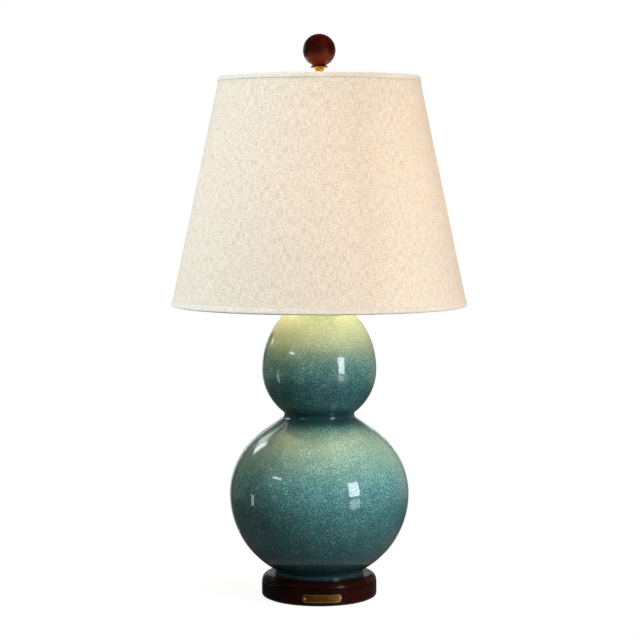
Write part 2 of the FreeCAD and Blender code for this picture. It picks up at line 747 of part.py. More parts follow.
def socket_cap():
    """The domed lower cap, screwed on the pipe by its hub."""
    rim = SHELL_RADIUS + FIXED_FIT
    z_rim = z_socket + SOCKET_CAP_HEIGHT - SOCKET_CAP_RIM
    z_top = z_socket + SOCKET_CAP_HEIGHT
    z_hub = z_socket + SOCKET_HUB_HEIGHT
    bowl_low = (SOCKET_HUB_RADIUS, z_hub)
    bowl_high = (rim + SOCKET_SHEET, z_rim)
    inner_low = (SOCKET_HUB_RADIUS - SOCKET_SHEET, z_hub + SOCKET_SHEET)
    inner_high = (rim, z_rim)
    return turned(
        (ROD_RADIUS + FIXED_FIT, z_socket),
        (SOCKET_HUB_RADIUS, z_socket),
        bowl_low,
        (upright_arc(bowl_low, bowl_high), bowl_high),
        (rim + SOCKET_SHEET, z_top),
        (rim, z_top),
        inner_high,
        (upright_arc(inner_low, inner_high), inner_low),
        (ROD_RADIUS + FIXED_FIT, z_hub + SOCKET_SHEET),
    )


def switch_window(radius):
    """The round hole towards the front that the switch bushing passes through."""
    return cylinder(radius, SHELL_RADIUS * 2, V(0, 0, z_switch), FRONT)


def socket_shell():
    """The upper shell, telescoped into the cap, with a rolled bead at its mouth."""
    z_bead = z_shell_top - 2 * SHELL_BEAD
    shell = turned(
        (shell_bore_radius, z_shell),
        (SHELL_RADIUS, z_shell),
        (SHELL_RADIUS, z_bead),
        ((SHELL_RADIUS + SHELL_BEAD, z_bead + SHELL_BEAD), (SHELL_RADIUS, z_shell_top)),
        (shell_bore_radius, z_shell_top),
    )
    return shell.cut(switch_window(SWITCH_BUSHING_RADIUS + FIXED_FIT))


def socket_liner():
    liner = tube(liner_radius, liner_radius - LINER_THICK, SHELL_LENGTH - 2 * SHELL_BEAD, V(0, 0, z_shell))
    return liner.cut(switch_window(SWITCH_BUSHING_RADIUS + FIXED_FIT))


def terminal_seat(side):
    """The flat on the core's side that a terminal screw's head lies on, as (x, z)."""
    head = TERMINAL_HEAD_THICK + FIXED_FIT
    return (side * (CORE_RADIUS - head), z_core + CORE_HEIGHT / 2)


def socket_core():
    """The insulating body under the screw shell, with screw seats and the switch bore."""
    core = cylinder(CORE_RADIUS, CORE_HEIGHT, V(0, 0, z_core))
    core = core.cut(cylinder(ROD_RADIUS, CORE_ROD_RECESS, V(0, 0, z_core)))
    core = core.cut(cylinder(SWITCH_SHAFT_RADIUS + RUNNING_FIT, CORE_RADIUS, V(0, 0, z_switch), FRONT))
    core = core.cut(cylinder(SWITCH_BUSHING_RADIUS + FIXED_FIT, CORE_RADIUS,
                             V(0, SWITCH_POCKET_DEPTH - CORE_RADIUS, z_switch), FRONT))
    half = TERMINAL_SCREW_RADIUS + 2 * BORE_FIT
    for side in (-1, 1):
        seat_x, seat_z = terminal_seat(side)
        far_x = side * 2 * CORE_RADIUS
        core = core.cut(box(min(seat_x, far_x), max(seat_x, far_x), -half, half,
                            seat_z - half, seat_z + half))
        hole = cylinder(TERMINAL_SCREW_SHANK + FIXED_FIT, CORE_RADIUS / 2,
                        V(seat_x - side * CORE_RADIUS / 2, 0, seat_z), RIGHT * side)
        core = core.cut(hole)
    return core


def terminal_screws():
    """Two screws that would clamp the leads, one each side of the core."""
    seat_x, seat_z = terminal_seat(1)
    shank = cylinder(TERMINAL_SCREW_SHANK, CORE_RADIUS / 2, V(seat_x - CORE_RADIUS / 2, 0, seat_z), RIGHT)
    head = cylinder(TERMINAL_SCREW_RADIUS, TERMINAL_HEAD_THICK, V(seat_x, 0, seat_z), RIGHT)
    half_slot = TERMINAL_SLOT_WIDTH / 2
    slot = box(seat_x + TERMINAL_HEAD_THICK / 2, seat_x + 2 * TERMINAL_HEAD_THICK,
               -TERMINAL_SCREW_RADIUS, TERMINAL_SCREW_RADIUS, seat_z - half_slot, seat_z + half_slot)
    return pair(shank.fuse(head).cut(slot).removeSplitter())


def screw_shell():
    """The contact shell that the bulb's cap turns in, on a flat collar."""
    outer = screw_shell_bore + SCREW_SHELL_THICK
    return turned(
        (CONTACT_WIDTH, z_screw_shell),
        (outer, z_screw_shell),
        (outer, z_screw_shell + SCREW_SHELL_HEIGHT),
        (screw_shell_bore, z_screw_shell + SCREW_SHELL_HEIGHT),
        (screw_shell_bore, z_screw_shell + SCREW_SHELL_THICK),
        (CONTACT_WIDTH, z_screw_shell + SCREW_SHELL_THICK),
    )


def centre_contact():
    """A springy tongue, folded up from the core to just under the bulb's contact."""
    half = CONTACT_WIDTH / 2
    foot = box(-half, half, -half / 2, half / 2, z_screw_shell, z_screw_shell + CONTACT_THICK)
    tongue = box(-half / 2, half / 2, -half / 2, half / 2, z_contact, z_contact + CONTACT_THICK)
    return fused([foot, tongue])


# Switch

def switch_bushing():
    y_start = SWITCH_POCKET_DEPTH - CORE_RADIUS
    length = SHELL_RADIUS + SWITCH_BUSHING_REACH + y_start
    bore = SWITCH_SHAFT_RADIUS + RUNNING_FIT
    return tube(SWITCH_BUSHING_RADIUS, bore, length, V(0, y_start, z_switch), FRONT)


def knob_start():
    return SHELL_RADIUS + SWITCH_BUSHING_REACH + SEAT_GAP


def switch_shaft():
    length = knob_start() + KNOB_LENGTH / 2 - (CORE_RADIUS - SWITCH_SHAFT_DEPTH)
    return cylinder(SWITCH_SHAFT_RADIUS, length, V(0, SWITCH_SHAFT_DEPTH - CORE_RADIUS, z_switch), FRONT)


def switch_knob():
    """A fluted knob with a domed end."""
    knob = turned_towards(
        FRONT, V(0, -knob_start(), z_switch),
        (0, 0),
        (KNOB_RADIUS - KNOB_FLUTE_RADIUS, 0),
        (KNOB_RADIUS, KNOB_FLUTE_RADIUS),
        (KNOB_RADIUS, KNOB_LENGTH - KNOB_DOME),
        dome(KNOB_RADIUS, KNOB_LENGTH - KNOB_DOME, KNOB_DOME),
    )
    for index in range(KNOB_FLUTES):
        turn = 2 * math.pi * index / KNOB_FLUTES
        place = V(KNOB_RADIUS * math.cos(turn), -knob_start(), z_switch + KNOB_RADIUS * math.sin(turn))
        knob = knob.cut(cylinder(KNOB_FLUTE_RADIUS, KNOB_LENGTH, place, FRONT))
    socket = cylinder(SWITCH_SHAFT_RADIUS + FIXED_FIT, KNOB_LENGTH / 2 + FIXED_FIT,
                      V(0, -knob_start(), z_switch), FRONT)
    return knob.cut(socket)


# Bulb

def bulb_outline(inset):
    """Points of the envelope: neck, hollow curve, widest sphere and crown, inset by the glass."""
    radius = BULB_RADIUS - inset
    neck = BULB_NECK_RADIUS - inset
    angle = math.radians(BULB_NECK_ANGLE)
    join = (radius * math.cos(angle), z_bulb_centre - radius * math.sin(angle))
    sweep = (join[0] - neck) / (1 - math.cos(angle))
    z_neck = join[1] - sweep * math.sin(angle)
    half = angle / 2
    hollow = (neck + sweep * (1 - math.cos(half)), z_neck + sweep * math.sin(half))
    crown = (radius * math.cos(math.pi / 4), z_bulb_centre + radius * math.sin(math.pi / 4))
    return (neck, z_neck), hollow, join, (radius, z_bulb_centre), crown, (0, z_bulb_centre + radius)


def bulb_form(inset, z_low):
    neck, hollow, join, widest, crown, top = bulb_outline(inset)
    half = math.radians(BULB_NECK_ANGLE) / 2
    radius = BULB_RADIUS - inset
    below = (radius * math.cos(half), z_bulb_centre - radius * math.sin(half))
    return turned((0, z_low), (neck[0], z_low), neck, (hollow, join), (below, widest), (crown, top))


def bulb_glass():
    z_low = z_bulb_rim - BULB_NECK_SINK
    inside = bulb_form(BULB_GLASS_THICK, z_low)
    return bulb_form(0, z_low).cut(inside)


def bulb_screw_cap():
    """The bulb's metal cap: a flared collar round the neck, a straight barrel and a cone."""
    inner = BULB_CAP_RADIUS - BULB_CAP_THICK
    collar = BULB_NECK_RADIUS + FIXED_FIT
    tip = BULB_CONTACT_RADIUS + 2 * BULB_CONTACT_MARGIN
    z_collar = z_bulb_rim - BULB_NECK_SINK - FIXED_FIT
    return turned(
        (tip, z_bulb_cap - BULB_CAP_THICK),
        (BULB_CAP_RADIUS, z_bulb_cap),
        (BULB_CAP_RADIUS, z_collar - BULB_CAP_THICK),
        (collar + BULB_CAP_THICK, z_collar),
        (collar + BULB_CAP_THICK, z_bulb_rim),
        (collar, z_bulb_rim),
        (collar, z_collar),
        (inner, z_collar - BULB_CAP_THICK),
        (inner, z_bulb_cap + BULB_CAP_THICK),
        (tip, z_bulb_cap),
    )


def bulb_insulator():
    z_low = z_bulb + BULB_CONTACT_HEIGHT
    return turned(
        (0, z_low),
        (BULB_CONTACT_RADIUS + BULB_CONTACT_MARGIN, z_low),
        (BULB_CAP_RADIUS - BULB_CONTACT_MARGIN, z_bulb_cap - BULB_CAP_THICK - FIXED_FIT),
        (0, z_bulb_cap - BULB_CAP_THICK - FIXED_FIT),
    )


def bulb_contact():
    """The rounded button at the bulb's lower end."""
    button = turned((0, 0), (BULB_CONTACT_RADIUS, 0), dome(BULB_CONTACT_RADIUS, 0, BULB_CONTACT_HEIGHT))
    button.Placement = FreeCAD.Placement(V(0, 0, z_bulb + BULB_CONTACT_HEIGHT), FreeCAD.Rotation(RIGHT, 180))
    return button


def bulb_stem():
    """The glass stem that carries the filament, flared where it joins the neck."""
    z_low = z_bulb_rim - BULB_NECK_SINK
    flare = BULB_NECK_RADIUS - BULB_GLASS_THICK - FIXED_FIT
    flare_low = (flare, z_low + BULB_GLASS_THICK)
    flare_high = (BULB_STEM_RADIUS, z_low + BULB_STEM_FLARE)
    return turned(
        (0, z_low),
        (flare, z_low),
        flare_low,
        (upright_arc(flare_low, flare_high), flare_high),
        (BULB_STEM_RADIUS, z_low + BULB_STEM_HEIGHT),
        (0, z_low + BULB_STEM_HEIGHT),
    )


def bulb_filament():
    """Two leads and the filament between them, as one bent wire standing on the stem."""
    z_low = z_bulb_rim - BULB_NECK_SINK + BULB_STEM_HEIGHT
    z_top = z_low + FILAMENT_LEAD
    points = [V(-FILAMENT_ROOT, 0, z_low), V(-FILAMENT_SPREAD, 0, z_top), V(0, 0, z_top + FILAMENT_CREST),
              V(FILAMENT_SPREAD, 0, z_top), V(FILAMENT_ROOT, 0, z_low)]
    bend = 2 * FILAMENT_WIRE_RADIUS
    return wire_along(rounded_path(points, [bend, FILAMENT_SPREAD / 2, bend]), FILAMENT_WIRE_RADIUS)


# Shade

def on_wall(along, inward):
    """A point of the shade's section: up the slant from the lower rim, and in from the outside."""
    radius = SHADE_BOTTOM_RADIUS - along * math.sin(shade_tilt) - inward * math.cos(shade_tilt)
    z = z_shade_bottom + along * math.cos(shade_tilt) - inward * math.sin(shade_tilt)
    return (radius, z)


def wall_layer(face, thick):
    """One conical sheet of the shade, between the two hems' folds."""
    low = TRIM_THICK + LAYER_GAP
    high = shade_slant - low
    return turned(
        on_wall(low, face),
        on_wall(high, face),
        on_wall(high, face + thick),
        on_wall(low, face + thick),
    )


def shade_fabric():
    return wall_layer(fabric_face, FABRIC_THICK)


def shade_liner():
    return wall_layer(liner_face, LINER_SHEET)


def hem(edge, inner_side):
    """A folded hem tape around the rim at edge, whose legs run towards inner_side."""
    fold = edge + inner_side * TRIM_THICK
    end = edge + inner_side * HEM_HEIGHT
    return turned(
        on_wall(edge, 0),
        on_wall(end, 0),
        on_wall(end, TRIM_THICK),
        on_wall(fold, TRIM_THICK),
        on_wall(fold, hem_width - TRIM_THICK),
        on_wall(end, hem_width - TRIM_THICK),
        on_wall(end, hem_width),
        on_wall(edge, hem_width),
    )


def shade_bottom_trim():
    return hem(0, 1)


def shade_top_trim():
    trim = hem(shade_slant, -1)
    for angle in SPIDER_ARM_ANGLES:
        trim = trim.cut(spider_arm(angle, SPIDER_ARM_RADIUS + SEAT_GAP))
    return trim


def ring_place(edge, inner_side):
    return on_wall(edge + inner_side * ring_setback, ring_face + SHADE_RING_RADIUS)


def shade_ring(place):
    return Part.makeTorus(place[0], SHADE_RING_RADIUS, V(0, 0, place[1]), UP)


def shade_top_ring():
    return shade_ring(ring_place(shade_slant, -1))


def shade_bottom_ring():
    return shade_ring(ring_place(0, 1))


def spider_washer():
    return tube(SPIDER_WASHER_RADIUS, STUD_RADIUS + RUNNING_FIT, SPIDER_WASHER_THICK, V(0, 0, z_washer))


def spider_arm(angle, radius):
    """One arm, from the top of the washer out and up to the top ring."""
    ring_radius, ring_z = ring_place(shade_slant, -1)
    z_arm = z_washer + SPIDER_WASHER_THICK + SPIDER_ARM_RADIUS
    bend_radius = ring_radius - SPIDER_ARM_RISE_LENGTH
    end_radius = ring_radius - SHADE_RING_RADIUS / 2
    points = [V(SPIDER_ARM_START, 0, z_arm), V(bend_radius, 0, z_arm), V(end_radius, 0, ring_z)]
    arm = wire_along(rounded_path(points, [SPIDER_ARM_BEND]), radius)
    arm.rotate(V(), UP, angle)
    return arm


def spider_arms():
    """Three arms, evenly round the washer."""
    return Part.makeCompound([spider_arm(angle, SPIDER_ARM_RADIUS) for angle in SPIDER_ARM_ANGLES])


# Finial

def finial_base():
    """The brass stem: foot, neck, cone and flange, with a tang up into the ball."""
    bore = STUD_RADIUS + RUNNING_FIT
    z_bore = z_flange + STUD_FLANGE_THICK + STUD_REACH + SEAT_GAP
    z_flange_low = z_finial_seat - FINIAL_FLANGE_THICK
    neck = (FINIAL_NECK_RADIUS, z_finial + FINIAL_NECK_RISE)
    flange_middle = (FINIAL_FLANGE_RADIUS + FINIAL_FLANGE_BULGE, z_flange_low + FINIAL_FLANGE_THICK / 2)
    return turned(
        (bore, z_finial),
        (FINIAL_FOOT_RADIUS, z_finial),
        (FINIAL_FOOT_RADIUS, z_finial + FINIAL_FOOT_THICK),
        (neck, (FINIAL_CONE_RADIUS, z_flange_low - FINIAL_CONE_STEP)),
        (FINIAL_FLANGE_RADIUS, z_flange_low),
        (flange_middle, (FINIAL_FLANGE_RADIUS, z_finial_seat)),
        (FINIAL_TANG_RADIUS, z_finial_seat),
        (FINIAL_TANG_RADIUS, z_finial_seat + FINIAL_TANG_LENGTH),
        (0, z_finial_seat + FINIAL_TANG_LENGTH),
        (0, z_bore),
        (bore, z_bore),
    )


def finial_ball():
    """A turned ball with a small flat that sits on the flange."""
    z_flat = z_finial_seat + FIXED_FIT
    z_centre = z_flat + math.sqrt(FINIAL_BALL_RADIUS ** 2 - FINIAL_FLAT_RADIUS ** 2)
    ball = Part.makeSphere(FINIAL_BALL_RADIUS, V(0, 0, z_centre))
    below = cylinder(FINIAL_BALL_RADIUS, FINIAL_BALL_RADIUS, V(0, 0, z_flat - FINIAL_BALL_RADIUS))
    tang_hole = cylinder(FINIAL_TANG_RADIUS + FIXED_FIT, FINIAL_TANG_LENGTH + FIXED_FIT, V(0, 0, z_flat))
    return ball.cut(below).cut(tang_hole)


PIECES = (
    felt_pad, wooden_base, nameplate, nameplate_pins, cord_bushing,
    rod_lower_washer, rod_lower_nut, lamp_rod,
    gourd_body, mouth_gasket, vase_cap, neck_spacer, harp_saddle,
    socket_cap, socket_shell, socket_liner, socket_core, terminal_screws, screw_shell, centre_contact,
    switch_bushing, switch_shaft, switch_knob,
    bulb_glass, bulb_screw_cap, bulb_insulator, bulb_contact, bulb_stem, bulb_filament,
    harp_loop, harp_stud, harp_sleeve_left, harp_sleeve_right,
    shade_fabric, shade_liner, shade_top_trim, shade_bottom_trim, shade_top_ring, shade_bottom_ring,
    spider_washer, spider_arms,
    finial_base, finial_ball,
)

os.makedirs("parts", exist_ok=True)
for piece in PIECES:
    solid = piece()
    solid.exportStep("parts/" + piece.__name__ + ".step")
    state = "valid" if solid.isValid() else "NOT VALID"
    print(piece.__name__, state, len(solid.Solids), round(solid.Volume, 1))
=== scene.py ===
import math

import bpy
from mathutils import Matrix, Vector, noise

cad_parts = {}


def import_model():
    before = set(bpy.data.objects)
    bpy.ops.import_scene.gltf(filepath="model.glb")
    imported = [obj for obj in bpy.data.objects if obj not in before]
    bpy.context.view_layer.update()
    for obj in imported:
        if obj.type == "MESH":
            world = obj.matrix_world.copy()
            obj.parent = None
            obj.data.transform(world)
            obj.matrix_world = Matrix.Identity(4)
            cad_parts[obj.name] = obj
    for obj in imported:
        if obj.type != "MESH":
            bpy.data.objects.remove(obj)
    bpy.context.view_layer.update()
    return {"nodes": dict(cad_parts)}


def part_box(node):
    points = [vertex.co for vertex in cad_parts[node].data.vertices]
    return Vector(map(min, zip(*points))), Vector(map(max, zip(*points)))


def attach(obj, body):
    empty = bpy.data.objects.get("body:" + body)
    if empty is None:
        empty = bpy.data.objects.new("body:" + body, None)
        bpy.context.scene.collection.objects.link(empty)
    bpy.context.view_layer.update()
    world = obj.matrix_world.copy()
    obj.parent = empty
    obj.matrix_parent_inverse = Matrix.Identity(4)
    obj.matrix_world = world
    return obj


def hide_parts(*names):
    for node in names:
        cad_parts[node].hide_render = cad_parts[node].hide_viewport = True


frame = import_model()
nodes = frame["nodes"]
scene = bpy.context.scene

# A lit table lamp: a crackle-glazed double gourd on a dark base, under a tapered linen shade.
# Metres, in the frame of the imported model: +Z up, the front towards -Y.
MM = 0.001
UP = Vector((0, 0, 1))


# ---------------------------------------------------------------- material helpers

def srgb(red, green, blue):
    """A linear colour from 0 to 255 screen values."""
    linear = []
    for value in (red, green, blue):
        value /= 255
        linear.append(value / 12.92 if value <= 0.04045 else ((value + 0.055) / 1.055) ** 2.4)
    return (*linear, 1.0)


def add_node(tree, kind, inputs, **settings):
    """A shader node with its settings, and its inputs linked or set."""
    made = tree.nodes.new("ShaderNode" + kind)
    for key, value in settings.items():
        setattr(made, key, value)
    for key, value in inputs.items():
        if isinstance(value, bpy.types.NodeSocket):
            tree.links.new(value, made.inputs[key])
        else:
            made.inputs[key].default_value = value
    return made


class Finish:
    """One material, whose methods each add a node and give back its output."""

    def __init__(self, name):
        self.material = bpy.data.materials.new(name)
        self.material.use_nodes = True
        self.tree = self.material.node_tree
        self.tree.nodes.clear()
        coordinates = self.tree.nodes.new("ShaderNodeTexCoord")
        self.place = coordinates.outputs["Object"]
        self.cloth = coordinates.outputs["UV"]

    def node(self, kind, inputs, **settings):
        return add_node(self.tree, kind, inputs, **settings)

    def scaled(self, place, scale):
        return self.node("Mapping", {"Vector": place, "Scale": scale}).outputs[0]

    def noise(self, place, scale, detail=2.0, roughness=0.5):
        sockets = {"Vector": place, "Scale": scale, "Detail": detail, "Roughness": roughness}
        return self.node("TexNoise", sockets).outputs[0]

    def warped(self, place, scale, reach):
        """The place, moved about by a soft noise."""
        shift = self.node("TexNoise", {"Vector": place, "Scale": scale, "Detail": 1.0}).outputs[1]
        sockets = {0: shift, 1: (0.5, 0.5, 0.5)}
        centred = self.node("VectorMath", sockets, operation="SUBTRACT").outputs[0]
        sockets = {0: centred, 1: (reach, reach, reach), 2: place}
        return self.node("VectorMath", sockets, operation="MULTIPLY_ADD").outputs[0]

    def cracks(self, place, cell, width):
        """1 along the borders of cells of a size, falling to 0 within a width."""
        sockets = {"Vector": place, "Scale": 1 / cell}
        edge = self.node("TexVoronoi", sockets, feature="DISTANCE_TO_EDGE").outputs["Distance"]
        return self.between(edge, width / cell / 4, width / cell, 1.0, 0.0)

    def between(self, value, low, high, at_low=0.0, at_high=1.0):
        """A smooth step from one value to another, which may also fall."""
        return self.node("MapRange", {
            "Value": value, "From Min": low, "From Max": high, "To Min": at_low, "To Max": at_high,
        }, interpolation_type="SMOOTHSTEP").outputs[0]

    def calc(self, operation, *values):
        return self.node("Math", dict(enumerate(values)), operation=operation).outputs[0]

    def mix(self, share, first, second, blend="MIX"):
        sockets = {0: share, 6: first, 7: second}
        return self.node("Mix", sockets, data_type="RGBA", blend_type=blend).outputs[2]

    def ramp(self, value, *stops):
        made = self.node("ValToRGB", {0: value})
        points = made.color_ramp.elements
        while len(points) < len(stops):
            points.new(0.5)
        for point, (position, colour) in zip(points, stops):
            point.position = position
            point.color = colour
        return made.outputs[0]

    def parts(self, vector):
        return self.node("SeparateXYZ", {0: vector}).outputs

    def bump(self, height, depth, normal=None):
        sockets = {"Height": height, "Distance": depth, "Strength": 1.0}
        if normal is not None:
            sockets["Normal"] = normal
        return self.node("Bump", sockets).outputs[0]

    def principled(self, **sockets):
        named = {key.replace("_", " "): value for key, value in sockets.items()}
        return self.node("BsdfPrincipled", named).outputs[0]

    def shown(self, shader):
        output = self.tree.nodes.new("ShaderNodeOutputMaterial")
        self.tree.links.new(shader, output.inputs["Surface"])
        return self.material


# ---------------------------------------------------------------- materials

# Heights on the gourd at which each change in its colour begins and is full, several of them
# painted light or shade.
# Thinner, greener glaze at the head's top, made paler with painted light from the bulb above.
HEAD_TOP_THIN_AND_LIT = (0.299, 0.340)
# A paler band round the shoulder: a painted reflection of the lit shade above it.
SHOULDER_REFLECTION_BELOW = (0.15, 0.205)
SHOULDER_REFLECTION_ABOVE = (0.231, 0.213)
# Painted shade under the belly and on the lower head, which begins at HEAD_BEGINS.
BELLY_PAINTED_SHADE = (0.162, 0.1)
HEAD_PAINTED_SHADE = (0.305, 0.264)
HEAD_BEGINS = (0.225, 0.24)
# Painted shade towards the foot.
FOOT_PAINTED_SHADE = (0.075, 0.04)
# A painted highlight on the foot ring.
FOOT_RING_HIGHLIGHT = (0.033, 0.0285)
# The waist's height over the gourd's foot, and how far from it the painted shade in its crease
# reaches.
WAIST_RISE = 208 * MM
WAIST_SHADE_REACH = (0.003, 0.018)
CRACK_CELL = 2.5 * MM
CRACK_WIDTH = 0.27 * MM
THREAD_PITCH = 0.95 * MM
# How far behind the nameplate's face its bright rim begins and is full.
RIM_EDGE = (0.32 * MM, 0.12 * MM)
BULB_NECK = 35 * MM
BULB_GLOW = 0.7


def glaze():
    """Teal crackle glaze: a net of pale lines under a clear gloss, thin and green at the top.
    Painted bulb light, painted shade and a painted reflection of the shade are laid into its
    colour.
    """
    f = Finish("glaze")
    height = f.parts(f.place)[2]
    drift = f.noise(f.scaled(f.place, (1, 1, 0.6)), 14, 2.0)
    cloud = f.noise(f.place, 95, 3.0, 0.6)
    speck = f.noise(f.place, 700, 2.0, 0.7)
    tone = f.ramp(
        drift, (0.3, srgb(34, 88, 98)), (0.52, srgb(40, 96, 100)), (0.74, srgb(58, 108, 96)))
    tone = f.mix(f.between(cloud, 0.4, 0.72, 0.0, 0.5), tone, srgb(32, 86, 94))
    tone = f.mix(f.between(speck, 0.4, 0.64, 0.0, 0.4), tone, srgb(24, 68, 76))
    cells = f.cracks(f.warped(f.place, 260, 0.0014), CRACK_CELL, CRACK_WIDTH)
    veins = f.calc("ABSOLUTE", f.calc("SUBTRACT", f.noise(f.place, 420, 1.0), 0.5))
    veins = f.between(veins, 0.01, 0.038, 1.0, 0.0)
    patchy = f.between(f.noise(f.place, 60, 1.0), 0.3, 0.7, 0.75, 1.0)
    net = f.calc("MULTIPLY", f.calc("MAXIMUM", cells, f.calc("MULTIPLY", veins, 0.8)), patchy)
    tone = f.mix(f.calc("MULTIPLY", net, 0.86), tone, srgb(150, 210, 198))
    # Paler, greener top of the head: thinner glaze, with painted light from the bulb.
    thin = f.calc(
        "MULTIPLY", f.between(height, *HEAD_TOP_THIN_AND_LIT), f.between(drift, 0.2, 0.5, 0.6, 0.95))
    tone = f.mix(thin, tone, f.mix(net, srgb(146, 170, 140), srgb(186, 208, 176)))
    # Painted reflection of the lit shade: a paler band round the shoulder.
    shoulder_reflection = f.calc(
        "MULTIPLY", f.between(height, *SHOULDER_REFLECTION_BELOW), f.between(height, *SHOULDER_REFLECTION_ABOVE))
    pale = f.mix(net, srgb(122, 150, 126), srgb(180, 208, 184))
    tone = f.mix(f.calc("MULTIPLY", shoulder_reflection, 0.75), tone, pale)
    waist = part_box("gourd_body")[0].z + WAIST_RISE
    # Painted shade under the belly and round the lower head.
    belly_painted_shade = f.between(height, *BELLY_PAINTED_SHADE, 0.0, 0.62)
    head_painted_shade = f.calc(
        "MULTIPLY", f.between(height, *HEAD_PAINTED_SHADE, 0.0, 0.75), f.between(height, *HEAD_BEGINS))
    tone = f.mix(f.calc("MAXIMUM", belly_painted_shade, head_painted_shade), tone, srgb(140, 165, 175), "MULTIPLY")
    # Painted shade in the crease at the waist.
    from_waist = f.calc("ABSOLUTE", f.calc("SUBTRACT", height, waist))
    waist_painted_shade = f.between(from_waist, *WAIST_SHADE_REACH, 0.72, 0.0)
    tone = f.mix(waist_painted_shade, tone, srgb(12, 50, 56))
    # Painted shade towards the foot.
    tone = f.mix(f.between(height, *FOOT_PAINTED_SHADE, 0.0, 0.7), tone, srgb(18, 42, 46))
    # A painted highlight on the foot ring.
    tone = f.mix(f.between(height, *FOOT_RING_HIGHLIGHT, 0.0, 0.7), tone, srgb(84, 112, 122))
    wave = f.bump(f.noise(f.place, 26, 1.0), 0.0002)
    pits = f.bump(f.calc("ADD", net, f.calc("MULTIPLY", speck, 0.5)), 0.00002, wave)
    return f.shown(f.principled(
        Base_Color=tone, Roughness=f.between(cloud, 0.3, 0.7, 0.28, 0.4), IOR=1.45,
        Specular_IOR_Level=0.15, Coat_Weight=1.0, Coat_Roughness=0.02, Coat_IOR=1.45,
        Normal=pits, Coat_Normal=wave,
    ))


def weave(f, pitch):
    """A plain weave over flat cloth coordinates, as (thread height, thick-and-thin shade)."""
    across, along, _ = f.parts(f.warped(f.cloth, 90, 0.0005))
    turn = math.pi / pitch
    warp = f.calc("SINE", f.calc("MULTIPLY", across, turn))
    weft = f.calc("SINE", f.calc("MULTIPLY", along, turn))
    over = f.between(f.calc("MULTIPLY", warp, weft), -0.3, 0.3)
    warp_rib = f.calc("ABSOLUTE", warp)
    weft_rib = f.calc("ABSOLUTE", weft)
    warp_side = f.calc("MULTIPLY", over, warp_rib)
    weft_side = f.calc("MULTIPLY", f.calc("SUBTRACT", 1.0, over), weft_rib)
    upright_slub = f.noise(f.scaled(f.cloth, (1000, 90, 1)), 1, 1.0, 0.6)
    level_slub = f.noise(f.scaled(f.cloth, (130, 1100, 1)), 1, 1.0, 0.6)
    slub = f.calc("MULTIPLY", f.calc("ADD", upright_slub, level_slub), 0.5)
    return f.calc("ADD", warp_side, weft_side), slub


def linen(name, pale, shadow, passing):
    """Undyed linen that lets a share of the light behind it through."""
    f = Finish(name)
    thread, slub = weave(f, THREAD_PITCH)
    speck = f.noise(f.cloth, 900, 1.0, 0.65)
    tone = f.mix(f.between(slub, 0.36, 0.58, 0.4, 1.0), shadow, pale)
    tone = f.mix(f.calc("MULTIPLY", f.between(speck, 0.46, 0.68), 0.7), tone, shadow)
    # Painted shade in the gaps between the threads.
    tone = f.mix(f.between(thread, 0.45, 0.0, 0.0, 0.6), tone, shadow, "MULTIPLY")
    relief = f.bump(f.calc("ADD", thread, f.calc("MULTIPLY", slub, 0.8)), 0.00022)
    front = f.principled(
        Base_Color=tone, Roughness=f.between(slub, 0.3, 0.7, 0.95, 0.8), Specular_IOR_Level=0.2,
        Sheen_Weight=0.15, Sheen_Roughness=0.5, Normal=relief,
    )
    back = f.node("BsdfTranslucent", {"Color": tone, "Normal": relief}).outputs[0]
    return f.shown(f.node("MixShader", {0: passing, 1: front, 2: back}).outputs[0])


def styrene():
    """The shade's white plastic lining, faintly mottled, that glows with the bulb."""
    f = Finish("styrene")
    cloud = f.noise(f.place, 55, 3.0, 0.6)
    grain = f.noise(f.place, 900, 1.0)
    tone = f.mix(cloud, srgb(247, 246, 242), srgb(238, 236, 231))
    relief = f.bump(grain, 0.00004)
    front = f.principled(
        Base_Color=tone, Roughness=f.between(cloud, 0.3, 0.7, 0.55, 0.7), Specular_IOR_Level=0.3,
        Normal=relief,
    )
    back = f.node("BsdfTranslucent", {"Color": tone, "Normal": relief}).outputs[0]
    return f.shown(f.node("MixShader", {0: 0.46, 1: front, 2: back}).outputs[0])


def wood(name, dark, middle, light, stretch, gloss):
    """Turned and lacquered wood: long grain, pores along it and a polished lacquer coat."""
    f = Finish(name)
    along = f.scaled(f.warped(f.place, 18, 0.004), stretch)
    figure = f.noise(along, 55, 4.0, 0.6)
    grain = f.noise(along, 330, 3.0, 0.7)
    pores = f.between(f.noise(along, 900, 2.0, 0.6), 0.6, 0.72)
    tone = f.ramp(figure, (0.32, dark), (0.5, middle), (0.7, light))
    tone = f.mix(f.between(grain, 0.35, 0.65, 0.0, 0.45), tone, dark)
    tone = f.mix(f.calc("MULTIPLY", pores, 0.6), tone, srgb(12, 4, 2))
    rub = f.noise(f.place, 70, 3.0)
    relief = f.bump(f.calc("SUBTRACT", f.calc("MULTIPLY", grain, 0.4), pores), 0.00003)
    return f.shown(f.principled(
        Base_Color=tone, Roughness=f.between(rub, 0.3, 0.7, 0.32, 0.46), Specular_IOR_Level=0.05,
        Coat_Weight=gloss, Coat_Roughness=0.08, Coat_IOR=1.35, Normal=relief,
    ))


def metal(name, bright, worn, rough, tarnish=0.35, brushed=(1, 1, 1)):
    """Polished or plated metal with fine brushing and a thin, uneven tarnish."""
    f = Finish(name)
    cloud = f.noise(f.place, 130, 4.0, 0.65)
    brush = f.noise(f.scaled(f.place, brushed), 1500, 2.0)
    stain = f.between(cloud, 0.46, 0.74, 0.0, tarnish)
    tone = f.mix(stain, bright, worn)
    shine = f.calc(
        "ADD", f.between(cloud, 0.3, 0.75, rough, rough + 0.14), f.calc("MULTIPLY", brush, 0.05))
    return f.shown(f.principled(
        Base_Color=tone, Metallic=1.0, Roughness=shine, Normal=f.bump(brush, 0.000004),
    ))


